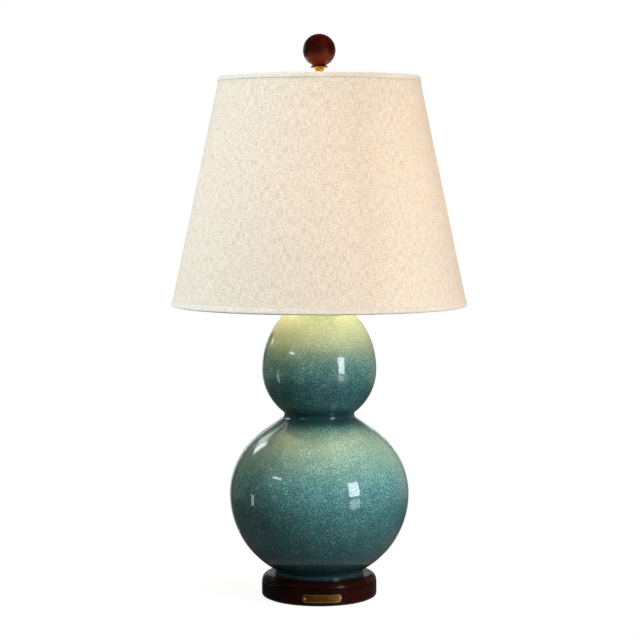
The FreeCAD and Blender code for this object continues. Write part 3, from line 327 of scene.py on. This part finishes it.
def plate_brass():
    """The nameplate: a bright raised rim round a darkened, level-brushed field."""
    f = Finish("plate_brass")
    x, y, _ = f.parts(f.place)
    reach = f.calc("SQRT", f.calc("ADD", f.calc("MULTIPLY", x, x), f.calc("MULTIPLY", y, y)))
    face = -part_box("nameplate")[0].y
    proud = f.between(reach, *(face - depth for depth in RIM_EDGE))
    cloud = f.noise(f.place, 420, 4.0, 0.7)
    brush = f.noise(f.scaled(f.place, (1, 1, 14)), 420, 2.0)
    field = f.ramp(
        cloud, (0.36, srgb(112, 64, 22)), (0.52, srgb(152, 92, 34)), (0.68, srgb(196, 132, 56)))
    field = f.mix(f.between(brush, 0.4, 0.65, 0.0, 0.3), field, srgb(196, 142, 70))
    tone = f.mix(proud, field, srgb(240, 208, 158))
    shine = f.calc("ADD", f.between(proud, 0.0, 1.0, 0.36, 0.2), f.calc("MULTIPLY", cloud, 0.1))
    relief = f.bump(f.calc("ADD", brush, cloud), 0.00003)
    return f.shown(f.principled(Base_Color=tone, Metallic=1.0, Roughness=shine, Normal=relief))


def plain(name, tone, second, scale, rough, depth, **sockets):
    """A mottled, finely grained finish for small moulded and pressed parts."""
    f = Finish(name)
    cloud = f.noise(f.place, scale, 4.0, 0.65)
    grain = f.noise(f.place, scale * 7, 2.0)
    colour = f.mix(f.between(cloud, 0.35, 0.65), tone, second)
    shine = f.between(grain, 0.3, 0.7, rough - 0.06, rough + 0.06)
    return f.shown(f.principled(
        Base_Color=colour, Roughness=shine, Normal=f.bump(grain, depth), **sockets,
    ))


def felt():
    """Pressed felt: matted fibres in two directions."""
    f = Finish("felt")
    first = f.noise(f.scaled(f.warped(f.place, 300, 0.002), (3, 0.5, 1)), 1400, 3.0, 0.7)
    second = f.noise(f.scaled(f.warped(f.place, 260, 0.002), (0.5, 3, 1)), 1300, 3.0, 0.7)
    fibre = f.calc("MAXIMUM", first, second)
    tone = f.ramp(fibre, (0.4, srgb(20, 30, 24)), (0.62, srgb(42, 58, 46)), (0.8, srgb(66, 82, 66)))
    return f.shown(f.principled(
        Base_Color=tone, Roughness=f.between(fibre, 0.4, 0.8, 0.9, 1.0), Specular_IOR_Level=0.1,
        Sheen_Weight=0.4, Sheen_Roughness=0.6, Normal=f.bump(fibre, 0.0004),
    ))


def frosted_bulb():
    """The lit bulb: white frosted glass, brighter round its middle than at the neck."""
    f = Finish("bulb_glass")
    height = f.parts(f.place)[2]
    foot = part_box("bulb_glass")[0].z
    cloud = f.noise(f.place, 160, 3.0)
    tone = f.mix(cloud, srgb(206, 198, 182), srgb(192, 184, 168))
    neck = f.between(height, foot, foot + BULB_NECK)
    glow = f.mix(neck, srgb(255, 206, 140), srgb(255, 226, 172))
    return f.shown(f.principled(
        Base_Color=tone, Roughness=f.between(cloud, 0.3, 0.7, 0.4, 0.55),
        Emission_Color=glow, Emission_Strength=BULB_GLOW,
    ))


BRASS = srgb(222, 182, 112)
BRASS_WORN = srgb(150, 108, 56)
FINISHES = {
    "glaze": glaze(),
    "linen": linen("linen", srgb(247, 232, 209), srgb(194, 174, 148), 0.34),
    "linen_hem": linen("linen_hem", srgb(239, 223, 200), srgb(200, 182, 158), 0.18),
    "styrene": styrene(),
    "base_wood": wood(
        "base_wood", srgb(20, 5, 2), srgb(36, 9, 4), srgb(56, 15, 6), (0.12, 1, 1), 0.2),
    "finial_wood": wood(
        "finial_wood", srgb(28, 6, 2), srgb(54, 10, 2), srgb(82, 20, 5), (1, 1, 0.12), 0.15),
    "plate_brass": plate_brass(),
    "brass": metal("brass", BRASS, BRASS_WORN, 0.16),
    # A darker, tarnished copy of the brass: real tarnish, and painted shade against the bulb's
    # light.
    "aged_shaded_brass": metal("aged_shaded_brass", srgb(158, 116, 56), srgb(84, 54, 22), 0.16, 0.7),
    "bright_pin": metal("bright_pin", srgb(255, 240, 224), srgb(236, 210, 186), 0.42),
    "plated_steel": metal("plated_steel", srgb(196, 198, 200), srgb(140, 136, 128), 0.25),
    "plated_aluminium": metal("plated_aluminium", srgb(212, 212, 210), srgb(168, 164, 156), 0.22),
    "solder": metal("solder", srgb(190, 190, 188), srgb(128, 126, 122), 0.4, 0.6),
    "filament": metal("filament", srgb(150, 146, 142), srgb(110, 104, 98), 0.4),
    "felt": felt(),
    "bulb_glass": frosted_bulb(),
    "clear_glass": plain(
        "clear_glass", srgb(226, 230, 228), srgb(214, 220, 218), 90, 0.14, 0.00001),
    "black_glass": plain("black_glass", srgb(26, 24, 30), srgb(16, 15, 18), 200, 0.16, 0.00001),
    "black_plastic": plain("black_plastic", srgb(27, 26, 25), srgb(20, 19, 19), 240, 0.38, 0.00002),
    "phenolic": plain("phenolic", srgb(52, 33, 22), srgb(36, 23, 16), 240, 0.42, 0.00003),
    "card": plain("card", srgb(196, 178, 142), srgb(176, 156, 120), 500, 0.85, 0.00005),
    "cork_rubber": plain("cork_rubber", srgb(150, 110, 72), srgb(84, 58, 38), 900, 0.85, 0.00012),
    "white_wire": plain("white_wire", srgb(236, 234, 228), srgb(220, 216, 206), 260, 0.38, 0.00003),
}


def dress(piece, body, slot):
    """Gives a piece its finish and its body, and shades it smooth."""
    piece.data.materials.append(FINISHES[slot])
    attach(piece, body)
    for face in piece.data.polygons:
        face.use_smooth = True
    return piece


for node in nodes.values():
    for holder in node.material_slots:
        holder.material = FINISHES[holder.material.name.split(".")[0]]
nodes["nameplate_pins"].material_slots[0].material = FINISHES["bright_pin"]
# The finial base gets the darker brass: tarnish, and painted shade against the bulb's light.
nodes["finial_base"].material_slots[0].material = FINISHES["aged_shaded_brass"]


# ---------------------------------------------------------------- mesh helpers

def grid_piece(name, rows, cloth, closed_rows):
    """A mesh through closed sections: the rows go round in a ring, or get a cap at each end."""
    count = len(rows[0])
    points = [point for row in rows for point in row]
    faces = []
    spans = len(rows) if closed_rows else len(rows) - 1
    for i in range(spans):
        here = i * count
        there = (i + 1) % len(rows) * count
        for j in range(count):
            k = (j + 1) % count
            faces.append((here + j, here + k, there + k, there + j))
    if not closed_rows:
        faces.append(tuple(range(count))[::-1])
        faces.append(tuple(range(len(points) - count, len(points))))
    mesh = bpy.data.meshes.new(name)
    mesh.from_pydata(points, [], faces)
    if cloth:
        layer = mesh.uv_layers.new(name="cloth")
        flat = [place for row in cloth for place in row]
        for loop in mesh.loops:
            layer.data[loop.index].uv = flat[loop.vertex_index]
    mesh.validate()
    mesh.update()
    piece = bpy.data.objects.new(name, mesh)
    scene.collection.objects.link(piece)
    return piece


def turned(angle, section):
    """A section, as (distance from the axis, height), at an angle round the axis."""
    direction = Vector((math.cos(angle), math.sin(angle), 0))
    return [direction * reach + UP * z for reach, z in section]


def smoothstep(low, high, value):
    share = min(1.0, max(0.0, (value - low) / (high - low)))
    return share * share * (3 - 2 * share)


# ---------------------------------------------------------------- shade

BOTTOM_LOW, BOTTOM_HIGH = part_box("shade_bottom_trim")
TOP_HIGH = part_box("shade_top_trim")[1]
BOTTOM_RADIUS = BOTTOM_HIGH.x
TOP_RADIUS = TOP_HIGH.x
HEM_WIDTH = 5.6 * MM
HEM_HEIGHT = 7.0 * MM
TAPE = 0.5 * MM
TAPE_EDGE = 0.06 * MM
FOLD_ROUND = 1.25 * MM
FOLD_STEPS = 4
WALL_STEPS = 5
HEM_TURNS = 540
HEM_PUCKER = 0.10 * MM
HEM_WANDER = 0.22 * MM
HEM_LOOP = 9
PUCKER_PITCH = 3.2
WANDER_PITCH = 0.9
CLOTH_TURNS = 360
CLOTH_LEVELS = 48
CLOTH_THICK = 0.5 * MM
CLOTH_FACE = 0.55 * MM
CLOTH_END = 1.7 * MM
CLOTH_WAVE = 0.02 * MM
CLOTH_WAVES_ROUND = 7
CLOTH_WAVES_UP = 40
LAP_WIDTH = 8.0 * MM
LAP_RISE = 0.56 * MM
LAP_TURN = LAP_WIDTH / BOTTOM_RADIUS
REAR = math.pi / 2
tilt = math.atan2(BOTTOM_RADIUS - TOP_RADIUS, TOP_HIGH.z - BOTTOM_LOW.z)
slant = (TOP_HIGH.z - BOTTOM_LOW.z) / math.cos(tilt)
# The trims' boxes reach past the rims by the width of the tape's tilted end.
tip = HEM_WIDTH * math.sin(tilt)


def wall_point(along, inward, angle):
    """A point of the shade: up the slant from the lower rim, in from the outside, at an angle."""
    radius = BOTTOM_RADIUS - along * math.sin(tilt) - inward * math.cos(tilt)
    z = BOTTOM_LOW.z + tip + along * math.cos(tilt) - inward * math.sin(tilt)
    return Vector((radius * math.cos(angle), radius * math.sin(angle), z))


def flat_place(along, angle):
    """Where a point of the cone lies on the flat cloth, whose grain is upright at the front."""
    cone = BOTTOM_RADIUS / math.sin(tilt) - along
    turn = (angle - REAR - math.pi) * math.sin(tilt)
    return (cone * math.sin(turn), cone * math.cos(turn))


def shade_cloth():
    """The linen: one strip round the cone whose end laps over its start at the rear."""
    span = slant - 2 * CLOTH_END
    heights = [CLOTH_END + span * j / CLOTH_LEVELS for j in range(CLOTH_LEVELS + 1)]
    rows = []
    flats = []
    for i in range(CLOTH_TURNS + 1):
        progress = (2 * math.pi + LAP_TURN) * i / CLOTH_TURNS
        angle = REAR - LAP_TURN / 2 + progress
        lift = LAP_RISE * smoothstep(2 * math.pi - LAP_TURN, 2 * math.pi, progress)
        row = []
        flat = []
        for side, order in ((0, heights), (CLOTH_THICK, heights[::-1])):
            for along in order:
                place = Vector((progress * CLOTH_WAVES_ROUND, along * CLOTH_WAVES_UP, 3.0))
                inward = CLOTH_FACE + side - lift + noise.noise(place) * CLOTH_WAVE
                row.append(wall_point(along, inward, angle))
                flat.append(flat_place(along, angle))
        rows.append(row)
        flats.append(flat)
    return grid_piece("shade_linen", rows, flats, closed_rows=False)


def quarter_turn(start, direction):
    """The sine and cosine at even steps of a quarter turn."""
    for k in range(FOLD_STEPS + 1):
        turn = start + direction * math.pi / 2 * k / FOLD_STEPS
        yield math.sin(turn), math.cos(turn)


def tape_section():
    """Half-millimetre tape folded round a rim: (how far along from the rim, how far inward)."""
    inner = FOLD_ROUND - TAPE / 2
    outer = FOLD_ROUND + TAPE / 2
    points = [(HEM_HEIGHT, TAPE), (HEM_HEIGHT + TAPE_EDGE, TAPE / 2), (HEM_HEIGHT, 0.0)]
    for j in range(1, WALL_STEPS):
        points.append((HEM_HEIGHT + (outer - HEM_HEIGHT) * j / WALL_STEPS, 0.0))
    for centre, start in ((outer, math.pi), (HEM_WIDTH - outer, 1.5 * math.pi)):
        for sine, cosine in quarter_turn(start, 1):
            points.append((outer + outer * sine, centre + outer * cosine))
    for j in range(1, WALL_STEPS):
        points.append((outer + (HEM_HEIGHT - outer) * j / WALL_STEPS, HEM_WIDTH))
    points += [(HEM_HEIGHT, HEM_WIDTH), (HEM_HEIGHT + TAPE_EDGE, HEM_WIDTH - TAPE / 2),
               (HEM_HEIGHT, HEM_WIDTH - TAPE)]
    fold = TAPE + inner
    for centre, start in ((HEM_WIDTH - fold, 2 * math.pi), (fold, 1.5 * math.pi)):
        for sine, cosine in quarter_turn(start, -1):
            points.append((fold + inner * sine, centre + inner * cosine))
    return points


def hem(name, at_top, seed):
    """A hem tape round one rim, gently puckered, thicker where it covers the lap in the cloth."""
    section = tape_section()
    rows = []
    flats = []
    for i in range(HEM_TURNS):
        angle = REAR + 2 * math.pi * i / HEM_TURNS
        steps_from_rear = abs((i + HEM_TURNS / 2) % HEM_TURNS - HEM_TURNS / 2)
        from_rear = steps_from_rear * 2 * math.pi / HEM_TURNS
        over_lap = LAP_RISE * (1 - smoothstep(LAP_TURN * 0.55, LAP_TURN * 0.85, from_rear))
        place = Vector((math.cos(angle) * HEM_LOOP, math.sin(angle) * HEM_LOOP, seed))
        pucker = HEM_PUCKER * (0.5 + 0.5 * noise.noise(place * PUCKER_PITCH))
        depth = HEM_WANDER * noise.noise(place * WANDER_PITCH)
        row = []
        flat = []
        for along, inward in section:
            free = smoothstep(TAPE * 2, HEM_HEIGHT, along)
            along_here = along + depth * free
            outside = 1 - smoothstep(TAPE, TAPE * 3, inward)
            inward_here = inward - (over_lap + pucker * free) * outside
            if at_top:
                along_here = slant - along_here
            row.append(wall_point(along_here, inward_here, angle))
            flat.append((angle * BOTTOM_RADIUS, along + inward))
        rows.append(row)
        flats.append(flat)
    return grid_piece(name, rows, flats, closed_rows=True)


linen_piece = dress(shade_cloth(), "shade", "linen")
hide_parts("shade_fabric")
top_hem = dress(hem("shade_top_hem", True, 5.0), "shade", "linen_hem")
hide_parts("shade_top_trim")
bottom_hem = dress(hem("shade_bottom_hem", False, 11.0), "shade", "linen_hem")
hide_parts("shade_bottom_trim")


# ---------------------------------------------------------------- felt

FELT_TURNS = 200
FELT_FRAY = 0.35 * MM
FRAY_PITCH = 14
FELT_CENTRE = 4 * MM


def felt_disc():
    """The felt under the base, with a soft cut edge."""
    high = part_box("felt_pad")[1]
    rows = []
    for i in range(FELT_TURNS):
        angle = 2 * math.pi * i / FELT_TURNS
        direction = Vector((math.cos(angle), math.sin(angle), 0))
        edge = high.x - FELT_FRAY * (0.5 + 0.5 * noise.noise(direction * FRAY_PITCH))
        rows.append(turned(angle, [
            (FELT_CENTRE, 0), (edge * 0.5, 0), (edge - 1.2 * MM, 0), (edge - 0.3 * MM, 0.08 * MM),
            (edge, high.z * 0.45), (edge - 0.25 * MM, high.z * 0.9), (edge - 1.0 * MM, high.z),
            (edge * 0.5, high.z), (FELT_CENTRE, high.z),
        ]))
    return grid_piece("felt_disc", rows, None, closed_rows=True)


felt_piece = dress(felt_disc(), "lamp_base", "felt")
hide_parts("felt_pad")


# ---------------------------------------------------------------- bulb cap

CAP_BARREL = 13.0 * MM
CAP_THREAD = 0.75 * MM
CAP_PITCH = 3.6 * MM
CAP_SHEET = 0.4 * MM
CAP_COLLAR = 4.6 * MM
CAP_TIP = 6.6 * MM
CAP_TURNS = 120
CAP_STEPS = 64


def threaded_cap():
    """The bulb's cap: a barrel rolled into a round thread, and a collar round the glass neck."""
    low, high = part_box("bulb_screw_cap")
    barrel_low = low.z + CAP_SHEET
    barrel_high = high.z - CAP_COLLAR
    inner = CAP_BARREL - CAP_THREAD - CAP_SHEET
    rows = []
    for i in range(CAP_TURNS):
        angle = 2 * math.pi * i / CAP_TURNS
        section = [(CAP_TIP, low.z)]
        for j in range(CAP_STEPS + 1):
            share = j / CAP_STEPS
            z = barrel_low + (barrel_high - barrel_low) * share
            groove = 0.5 - 0.5 * math.cos(2 * math.pi * (z - barrel_low) / CAP_PITCH - angle)
            fade = smoothstep(0, 0.12, share) * (1 - smoothstep(0.88, 1, share))
            section.append((CAP_BARREL - CAP_THREAD * groove * fade, z))
        section += [
            (high.x, barrel_high + CAP_SHEET), (high.x, high.z), (high.x - CAP_SHEET, high.z),
            (high.x - CAP_SHEET, barrel_high + 2 * CAP_SHEET), (inner, barrel_high),
            (inner, barrel_low + CAP_SHEET), (CAP_TIP, low.z + CAP_SHEET),
        ]
        rows.append(turned(angle, section))
    return grid_piece("bulb_thread", rows, None, closed_rows=True)


cap_piece = dress(threaded_cap(), "bulb", "plated_aluminium")
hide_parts("bulb_screw_cap")


# ---------------------------------------------------------------- floor, world, lights, camera

FLOOR_REACH = 0.32
FLOOR_SIDES = 96
FLOOR_LIFT = 0.93
# Distances from the axis: the shadow on the floor fades out over the first pair, and the white
# floor that the glaze mirrors over the second.
FLOOR_SHADOW = (0.14, 0.31)
FLOOR_MIRROR = (0.03, 0.11)
ROOM_LIGHT = 0.10
ROOM_FRONT = 0.07
ROOM_REAR = 1.0
# How far a mirrored direction points to the rear where the dim room gives way to the white one.
ROOM_EDGE = (0.9, 0.985)


def floor():
    """A round white table top, lit white to the camera but for the lamp's own shadow."""
    mesh = bpy.data.meshes.new("floor")
    turns = [2 * math.pi * i / FLOOR_SIDES for i in range(FLOOR_SIDES)]
    rim = [(FLOOR_REACH * math.cos(turn), FLOOR_REACH * math.sin(turn), 0) for turn in turns]
    mesh.from_pydata(rim, [], [tuple(range(FLOOR_SIDES))])
    piece = bpy.data.objects.new("floor", mesh)
    scene.collection.objects.link(piece)
    f = Finish("floor")
    path = f.node("LightPath", {})
    away = f.node("VectorMath", {0: f.place}, operation="LENGTH").outputs["Value"]
    seen = f.calc("MAXIMUM", path.outputs["Is Camera Ray"], path.outputs["Is Transmission Ray"])
    near = f.between(away, *FLOOR_MIRROR, 0.6, 0.0)
    seen = f.calc("MAXIMUM", seen, f.calc("MULTIPLY", path.outputs["Is Glossy Ray"], near))
    tone = f.mix(f.noise(f.place, 30, 2.0), srgb(98, 98, 98), srgb(95, 95, 95))
    base = f.node("BsdfDiffuse", {"Color": tone}).outputs[0]
    level = f.between(away, *FLOOR_SHADOW, FLOOR_LIFT, 1.0)
    lift = f.node("Emission", {"Color": (1, 1, 1, 1), "Strength": f.calc("MULTIPLY", seen, level)})
    mesh.materials.append(f.shown(f.node("AddShader", {0: base, 1: lift.outputs[0]}).outputs[0]))


def world():
    """A white background, plain light for the object, and a dim room in front for reflections."""
    made = bpy.data.worlds.new("studio")
    scene.world = made
    made.use_nodes = True
    tree = made.node_tree
    tree.nodes.clear()

    def node(kind, inputs, **settings):
        return add_node(tree, kind, inputs, **settings)

    path = node("LightPath", {})
    towards = node("TexCoord", {}).outputs["Generated"]
    depth = node("SeparateXYZ", {0: towards}).outputs[1]
    mirrored = node("MapRange", {
        "Value": depth, "From Min": ROOM_EDGE[0], "From Max": ROOM_EDGE[1],
        "To Min": ROOM_FRONT, "To Max": ROOM_REAR,
    }, interpolation_type="SMOOTHSTEP").outputs[0]
    shiny = node("Mix", {0: path.outputs["Is Glossy Ray"], 2: ROOM_LIGHT, 3: mirrored}).outputs[0]
    rays = {0: path.outputs["Is Camera Ray"], 1: path.outputs["Is Transmission Ray"]}
    white = node("Math", rays, operation="MAXIMUM").outputs[0]
    strength = node("Mix", {0: white, 2: shiny, 3: 1.0}).outputs[0]
    tints = {0: white, 6: (0.9, 0.96, 1.0, 1.0), 7: (1, 1, 1, 1)}
    tint = node("Mix", tints, data_type="RGBA").outputs[2]
    background = node("Background", {"Color": tint, "Strength": strength})
    node("OutputWorld", {"Surface": background.outputs[0]})


def placed_lamp(data, azimuth, elevation, distance, target_z):
    """A lamp aimed at a height on the axis. Azimuth 0 is the front, 90 the right."""
    lamp = bpy.data.objects.new(data.name, data)
    scene.collection.objects.link(lamp)
    a = math.radians(azimuth)
    e = math.radians(elevation)
    away = Vector((math.sin(a) * math.cos(e), -math.cos(a) * math.cos(e), math.sin(e)))
    lamp.location = away * distance + UP * target_z
    lamp.rotation_euler = away.to_track_quat("Z", "Y").to_euler()
    return lamp


def area_light(name, mirrored, azimuth, elevation, distance, target_z, size, power, colour):
    """A soft box. One that is mirrored shows in the glaze as a window does."""
    data = bpy.data.lights.new(name, "AREA")
    data.shape = "RECTANGLE"
    data.size, data.size_y = size
    data.energy = power
    data.color = colour
    lamp = placed_lamp(data, azimuth, elevation, distance, target_z)
    lamp.visible_camera = False
    lamp.visible_glossy = mirrored


def link_light(lamp, pieces, state):
    """Has a light reach these pieces alone, or all but these."""
    linked = bpy.data.collections.new(lamp.name + "_pieces")
    for piece in pieces:
        linked.objects.link(piece)
    for member in linked.collection_objects:
        member.light_linking.link_state = state
    lamp.light_linking.receiver_collection = linked


BULB_POWER = 4.1


def bulb_light():
    """The bulb's light, from just outside its glass and not on it. It rides with the bulb."""
    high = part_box("bulb_glass")[1]
    data = bpy.data.lights.new("bulb_light", "POINT")
    data.energy = BULB_POWER
    data.color = (1.0, 0.73, 0.44)
    radius = high.x
    data.shadow_soft_size = radius + 1 * MM
    data.use_soft_falloff = False
    lamp = bpy.data.objects.new("bulb_light", data)
    scene.collection.objects.link(lamp)
    lamp.location = (0, 0, high.z - radius)
    lamp.visible_camera = False
    lamp.visible_glossy = False
    link_light(lamp, [nodes["bulb_glass"]], "EXCLUDE")
    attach(lamp, "bulb")


SHADE_LIGHT_CONE = math.radians(40)
SHADE_LIGHT_AWAY = 2.5
SHADE_LIGHT_AIM = 0.5


def shade_light(name, azimuth, elevation, power, colour):
    """A light that reaches the shade's cloth alone, also when the shade is lifted."""
    data = bpy.data.lights.new(name, "SPOT")
    data.energy = power
    data.color = colour
    data.spot_size = SHADE_LIGHT_CONE
    data.spot_blend = 0.3
    data.shadow_soft_size = 0.06
    lamp = placed_lamp(data, azimuth, elevation, SHADE_LIGHT_AWAY, SHADE_LIGHT_AIM)
    lamp.visible_glossy = False
    link_light(lamp, [linen_piece, top_hem, bottom_hem], "INCLUDE")


CAMERA_LENS = 116.49
CAMERA_DISTANCE = 2.665
CAMERA_ASIDE = 0.001
CAMERA_HEIGHT = 0.546
CAMERA_TURN = math.radians(3.0)
CAMERA_DOWN = math.radians(4.0)


def camera():
    """The photograph's view, from the shade's height: 3 degrees to the left and 4 degrees down."""
    data = bpy.data.cameras.new("camera")
    data.lens = CAMERA_LENS
    data.sensor_width = 36.0
    data.clip_start = 0.05
    data.clip_end = 40.0
    eye = bpy.data.objects.new("camera", data)
    scene.collection.objects.link(eye)
    sine = math.sin(CAMERA_TURN)
    cosine = math.cos(CAMERA_TURN)
    eye.location = (CAMERA_ASIDE * cosine - CAMERA_DISTANCE * sine,
                    -CAMERA_ASIDE * sine - CAMERA_DISTANCE * cosine, CAMERA_HEIGHT)
    eye.rotation_euler = (math.pi / 2 - CAMERA_DOWN, 0, -CAMERA_TURN)
    scene.camera = eye


# Name, mirrored or not, azimuth, elevation, distance, height aimed at, size, power, colour.
AREA_LIGHTS = (
    ("key", False, 32, 52, 2.4, 0.35, (0.75, 0.75), 46, (0.96, 0.985, 1.0)),
    ("fill", False, -40, 30, 2.6, 0.35, (1.6, 1.6), 2.4, (0.97, 0.985, 1.0)),
    ("back", False, 165, 28, 2.6, 0.45, (1.6, 1.6), 22, (1.0, 0.99, 0.97)),
    ("window_upper", True, 41, 13, 1.15, 0.15, (0.27, 0.40), 5.6, (0.84, 0.9, 1.0)),
    ("window_lower", True, 41, -7, 1.15, 0.15, (0.27, 0.24), 1.1, (0.84, 0.95, 1.0)),
    ("window_left", True, -62, 25, 1.2, 0.167, (0.28, 0.07), 0.6, (0.9, 0.97, 1.0)),
    ("window_rear", True, -142, 29, 1.4, 0.205, (0.42, 0.30), 1.1, (0.84, 0.92, 1.0)),
    ("lamp_left", True, -93, -6, 1.2, 0.137, (0.10, 0.24), 0.35, (0.94, 0.97, 1.0)),
    ("window_far_left", True, -127, 22, 0.6, 0.296, (0.08, 0.15), 0.2, (0.9, 0.97, 1.0)),
    ("garden_left", True, -122, 5, 1.3, 0.18, (0.9, 0.7), 0.5, (0.46, 0.7, 0.3)),
    ("wall_right", True, 128, 8, 1.3, 0.18, (0.9, 0.9), 1.0, (0.82, 0.66, 0.34)),
)
floor()
world()
for row in AREA_LIGHTS:
    area_light(*row)
shade_light("shade_left", -74, 17, 440, (0.66, 0.82, 1.0))
shade_light("shade_right", 40, 14, 6, (1.0, 0.95, 0.92))
bulb_light()
camera()
scene.view_settings.view_transform = "Standard"
